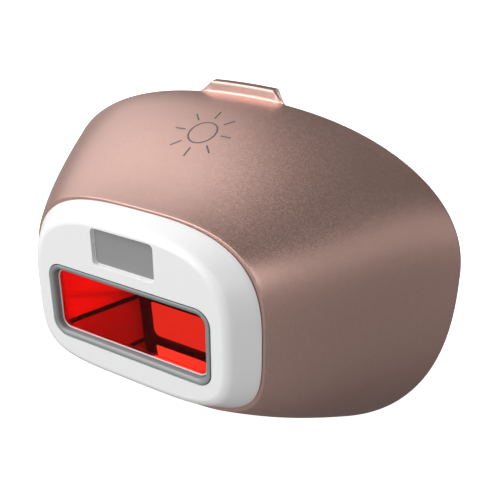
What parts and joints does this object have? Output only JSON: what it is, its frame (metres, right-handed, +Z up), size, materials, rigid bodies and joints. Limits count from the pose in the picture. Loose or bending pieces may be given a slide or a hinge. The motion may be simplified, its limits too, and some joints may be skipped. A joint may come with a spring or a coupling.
{
  "type": "ipl hair remover treatment head",
  "caption": "Clip-on treatment head of a pulsed-light hair remover: flared cap, white bezel, sprung contact frame round a red filter glass, skin-sensor window and a socket for a handset.",
  "frame": {"origin": "centre of the bounding box of the whole head", "axes": "+X across the head, its longest side; +Y along the depth, from the skin side to the handset side, where the coupling plate faces; +Z up towards the pull tab"},
  "size_m": [0.0662, 0.0284, 0.0512],
  "materials": {
    "shell_lacquer": "satin rose-gold metallic lacquer with a fine flake on moulded plastic",
    "white_plastic": "smooth white moulding, semi-gloss",
    "frame_metal": "satin grey metal, lightly blasted",
    "filter_glass": "polished deep red long-pass filter glass",
    "mirror_sheet": "polished reflector sheet",
    "sensor_window": "polished grey-tinted clear plastic",
    "black_plastic": "fine matt black moulding",
    "grey_plastic": "matt dark grey moulding",
    "silicone": "matt black silicone",
    "circuit_board": "green solder mask on glass-fibre board",
    "polyimide": "amber polyimide film",
    "gold_contact": "gold-plated, smooth",
    "steel": "plain bright steel",
    "led_resin": "clear yellowish resin"
  },
  "bodies": {
    "housing": {"housing_shell": "shell_lacquer", "front_bezel": "white_plastic", "filter_glass": "filter_glass", "glass_gasket": "silicone", "mirror_left": "mirror_sheet", "mirror_right": "mirror_sheet", "mirror_top": "mirror_sheet", "mirror_bottom": "mirror_sheet", "mirror_carrier": "black_plastic", "sensor_window": "sensor_window", "sensor_gasket": "silicone", "front_board": "circuit_board", "sensor_photodiode": "black_plastic", "sensor_led_left": "led_resin", "sensor_led_right": "led_resin", "switch_body_left": "black_plastic", "switch_body_right": "black_plastic", "return_spring_1": "steel", "return_spring_2": "steel", "return_spring_3": "steel", "return_spring_4": "steel", "front_chassis": "grey_plastic", "coupling_plate": "grey_plastic", "contact_block": "black_plastic", "coding_chip": "black_plastic", "flex_ribbon": "polyimide", "aperture_seal": "silicone", "plate_screw_1": "steel", "plate_screw_2": "steel", "plate_screw_3": "steel", "plate_screw_4": "steel", "contact_pad_1": "gold_contact", "contact_pad_2": "gold_contact", "contact_pad_3": "gold_contact", "contact_pad_4": "gold_contact", "contact_pad_5": "gold_contact", "contact_pad_6": "gold_contact"},
    "contact_frame": {"contact_frame": "frame_metal"},
    "switch_plunger_left": {"switch_plunger_left": "steel"},
    "switch_plunger_right": {"switch_plunger_right": "steel"},
    "snap_latch_left": {"snap_latch_left": "black_plastic"},
    "snap_latch_right": {"snap_latch_right": "black_plastic"}
  },
  "joints": [
    {"name": "contact_frame_press", "type": "slide", "parent": "housing", "child": "contact_frame", "axis": [0, 1, 0], "range_m": [0, 0.0008], "stiffness_N_per_m": 600, "springref_m": -0.0008, "deforming": ["return_spring_1", "return_spring_2", "return_spring_3", "return_spring_4"]},
    {"name": "switch_plunger_left_press", "type": "slide", "parent": "housing", "child": "switch_plunger_left", "axis": [0, 1, 0], "range_m": [0, 0.0008]},
    {"name": "switch_plunger_right_press", "type": "slide", "parent": "housing", "child": "switch_plunger_right", "axis": [0, 1, 0], "range_m": [0, 0.0008]},
    {"name": "snap_latch_left_flex", "type": "hinge", "parent": "housing", "child": "snap_latch_left", "pos_m": [-0.01988, -0.00005, 0.00178], "axis": [0, 0, 1], "range_deg": [0, 6], "stiffness_Nm_per_rad": 0.05},
    {"name": "snap_latch_right_flex", "type": "hinge", "parent": "housing", "child": "snap_latch_right", "pos_m": [0.01988, -0.00005, 0.00178], "axis": [0, 0, -1], "range_deg": [0, 6], "stiffness_Nm_per_rad": 0.05}
  ],
  "couplings": [
    {"joint": "switch_plunger_left_press", "follows": "contact_frame_press", "ratio": 1},
    {"joint": "switch_plunger_right_press", "follows": "contact_frame_press", "ratio": 1}
  ]
}
